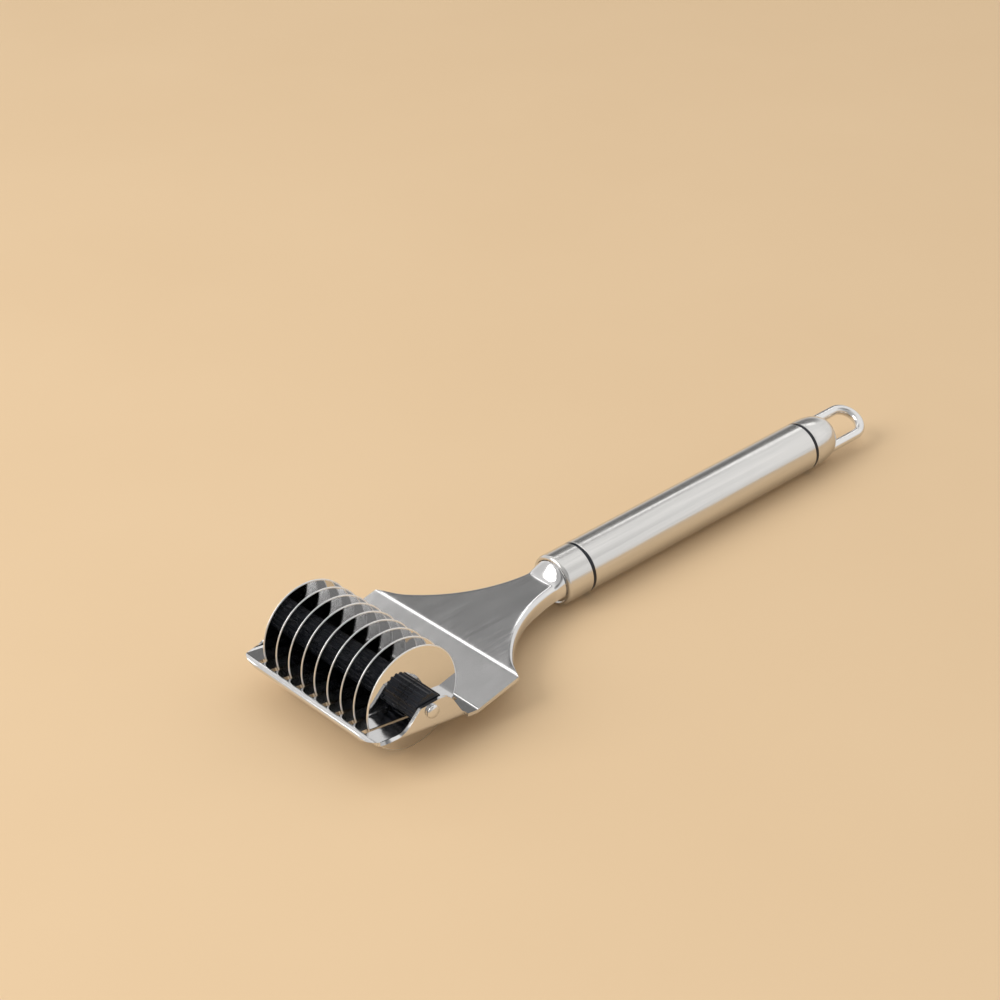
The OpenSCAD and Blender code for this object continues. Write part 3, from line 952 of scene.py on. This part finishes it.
def make_eye():
    """Hanging eye: a bow of round rod with both legs set in the cap, turned about the handle."""
    root_y = span("hanging_eye", Y)[0]
    centre_y = span("hanging_eye", Y)[1] - EYE_ROD_R - EYE_HALF
    leg = [root_y + (centre_y - root_y) * k / EYE_LEG_STEPS for k in range(EYE_LEG_STEPS)]
    path = [(EYE_HALF, y, 1, 0) for y in leg]
    for k in range(EYE_BOW_STEPS + 1):
        a = math.pi * k / EYE_BOW_STEPS
        cos, sin = math.cos(a), math.sin(a)
        path.append((EYE_HALF * cos, centre_y + EYE_HALF * sin, cos, sin))
    path += [(-EYE_HALF, y, -1, 0) for y in reversed(leg)]
    verts, faces = [], []
    for path_x, path_y, out_x, out_y in path:
        for s in range(EYE_SIDES):
            a = 2 * math.pi * s / EYE_SIDES
            out = EYE_ROD_R * math.cos(a)
            up = EYE_ROD_R * math.sin(a)
            flat_x = path_x + out * out_x
            verts.append((flat_x * math.cos(EYE_TURN) + up * math.sin(EYE_TURN),
                          path_y + out * out_y,
                          HANDLE_Z - flat_x * math.sin(EYE_TURN) + up * math.cos(EYE_TURN)))
    for i in range(len(path) - 1):
        a, b = i * EYE_SIDES, (i + 1) * EYE_SIDES
        for s in range(EYE_SIDES):
            after = (s + 1) % EYE_SIDES
            faces.append((a + s, a + after, b + after, b + s))
    faces.append(list(range(EYE_SIDES)))
    faces.append(list(range(len(verts) - EYE_SIDES, len(verts))))
    place("eye_loop", verts, faces, "frame", polished_steel, ["hanging_eye"])


# The photograph's camera, in the frame of the part
FOCAL_PX = 2174.5
IMAGE_PX = 1000
CENTRE_PX = (497.0, 501.5)
CAMERA_AT = (385.12, -275.05, 348.86)
CAMERA_RIGHT = Vector((0.666645, 0.743939, -0.046252))
CAMERA_DOWN = Vector((0.360435, -0.376057, -0.85362))


def make_camera():
    """Camera at the photograph's place, direction and focal length."""
    lens = bpy.data.cameras.new("camera")
    lens.sensor_width = 36
    lens.lens = FOCAL_PX / IMAGE_PX * lens.sensor_width
    lens.shift_x = 0.5 - CENTRE_PX[0] / IMAGE_PX
    lens.shift_y = CENTRE_PX[1] / IMAGE_PX - 0.5
    lens.clip_start = 0.01
    lens.clip_end = 20
    camera = bpy.data.objects.new("camera", lens)
    forward = CAMERA_DOWN.cross(-CAMERA_RIGHT)
    turn = Matrix((CAMERA_RIGHT, -CAMERA_DOWN, -forward)).transposed()
    camera.matrix_world = Matrix.Translation(Vector(CAMERA_AT) * MM) @ turn.to_4x4()
    bpy.context.scene.collection.objects.link(camera)
    bpy.context.scene.camera = camera


# Floor in metres, a hair below the blades' lowest points
FLOOR_R = 6.0
FLOOR_Z = -0.00002
FLOOR_SIDES = 96
FLOOR_DARK = (0.78, 0.57, 0.35)
FLOOR_LIGHT = (0.82, 0.61, 0.385)
FLOOR_CLOUDS = 9.0


def make_floor():
    """Plain pale floor."""
    verts = []
    for k in range(FLOOR_SIDES):
        a = 2 * math.pi * k / FLOOR_SIDES
        verts.append((FLOOR_R * math.cos(a), FLOOR_R * math.sin(a), FLOOR_Z))
    mesh = bpy.data.meshes.new("floor")
    mesh.from_pydata(verts, [], [list(range(FLOOR_SIDES))])
    floor = bpy.data.objects.new("floor", mesh)
    bpy.context.scene.collection.objects.link(floor)
    material, tree, shader = new_material("floor_paint")
    colour = tint(tree, speckle(tree, FLOOR_CLOUDS), FLOOR_DARK, FLOOR_LIGHT)
    join(tree, shader.inputs["Base Color"], colour)
    shader.inputs["Roughness"].default_value = 0.8
    shader.inputs["Specular IOR Level"].default_value = 0.2
    mesh.materials.append(material)


def smooth_band(tree, value, low, high, soft):
    """One between two values and zero outside them, with soft ends."""
    up = smooth_step(tree, value, low - soft, low + soft)
    down = smooth_step(tree, value, high - soft, high + soft, 1.0, 0.0)
    return calc(tree, "MULTIPLY", up, down)


def facing(tree, coords, direction):
    """How much a direction of the surroundings agrees with another one."""
    toward = add(tree, "ShaderNodeVectorMath", {"operation": "DOT_PRODUCT"})
    join(tree, toward.inputs[0], coords)
    toward.inputs[1].default_value = Vector(direction).normalized()
    return toward.outputs["Value"]


# Brightness of the surroundings, from the horizon up to the height of a direction of length one
SKY_TOP = 0.8
SKY_LEVELS = (0.86, 0.98)

# Soft round patches on them: direction, where a patch starts and where it is full, what it adds
WALL = (-0.652, 0.54, 0.525)
PATCHES = [
    (WALL, 0.84, 0.98, -0.73),
    ((0.577, 0.552, 0.6), 0.86, 0.97, 0.1),
    ((0.66, 0.24, 0.70), 0.90, 0.98, -0.55),
    ((-0.65, -0.58, 0.48), 0.80, 0.95, -0.2),
    ((0.45, -0.8, 0.35), 0.2, 0.9, -0.45),
]

# Long window in the wall: its elevation in degrees, and how close to the wall's middle it starts
WINDOW = (38.2, 42.4)
WINDOW_SOFT = 0.7
WINDOW_NEAR = 0.88
WINDOW_FADE = 0.04
WINDOW_GAIN = 2.2


def make_world():
    """Soft studio surroundings: bright above, a grey wall behind on the left with one long window,
    and softly darker in front on the left, on the right and behind the camera."""
    world = bpy.data.worlds.new("studio")
    bpy.context.scene.world = world
    world.use_nodes = True
    tree = world.node_tree
    back = tree.nodes["Background"]
    coords = add(tree, "ShaderNodeTexCoord").outputs["Generated"]
    height = add(tree, "ShaderNodeSeparateXYZ", Vector=coords).outputs["Z"]
    level = spread(tree, height, 0.0, SKY_TOP, *SKY_LEVELS)
    for direction, start, full, gain in PATCHES:
        patch = smooth_step(tree, facing(tree, coords, direction), start, full)
        level = calc(tree, "ADD", level, calc(tree, "MULTIPLY", patch, gain))
    elevation = calc(tree, "MULTIPLY", calc(tree, "ARCSINE", height), math.degrees(1))
    window = smooth_band(tree, elevation, *WINDOW, WINDOW_SOFT)
    near = facing(tree, coords, WALL)
    ahead = smooth_step(tree, near, WINDOW_NEAR - WINDOW_FADE, WINDOW_NEAR + WINDOW_FADE)
    lit = calc(tree, "MULTIPLY", calc(tree, "MULTIPLY", window, ahead), WINDOW_GAIN)
    join(tree, back.inputs["Strength"], calc(tree, "ADD", level, lit))
    back.inputs["Color"].default_value = (1.0, 0.985, 0.96, 1)


# What the lamp faces, in metres: the middle of the object
LAMP_TARGET = Vector((0, 0.08, 0.01))


def make_lamp(name, place_m, size, power):
    """One square soft light that faces the middle of the object."""
    lamp = bpy.data.lights.new(name, "AREA")
    lamp.shape = "SQUARE"
    lamp.size = size
    lamp.energy = power
    lamp.color = (1.0, 0.97, 0.93)
    piece = bpy.data.objects.new(name, lamp)
    place_at = Vector(place_m)
    away = place_at - LAMP_TARGET
    turn = away.to_track_quat("Z", "Y").to_matrix().to_4x4()
    piece.matrix_world = Matrix.Translation(place_at) @ turn
    bpy.context.scene.collection.objects.link(piece)


make_camera()
make_head()
make_blades()
make_spacers()
make_axle()
make_handle()
make_eye()
make_floor()
make_world()
make_lamp("key_light", (-0.45, -0.95, 0.85), size=0.9, power=10.0)

bpy.context.scene.view_settings.view_transform = "Standard"
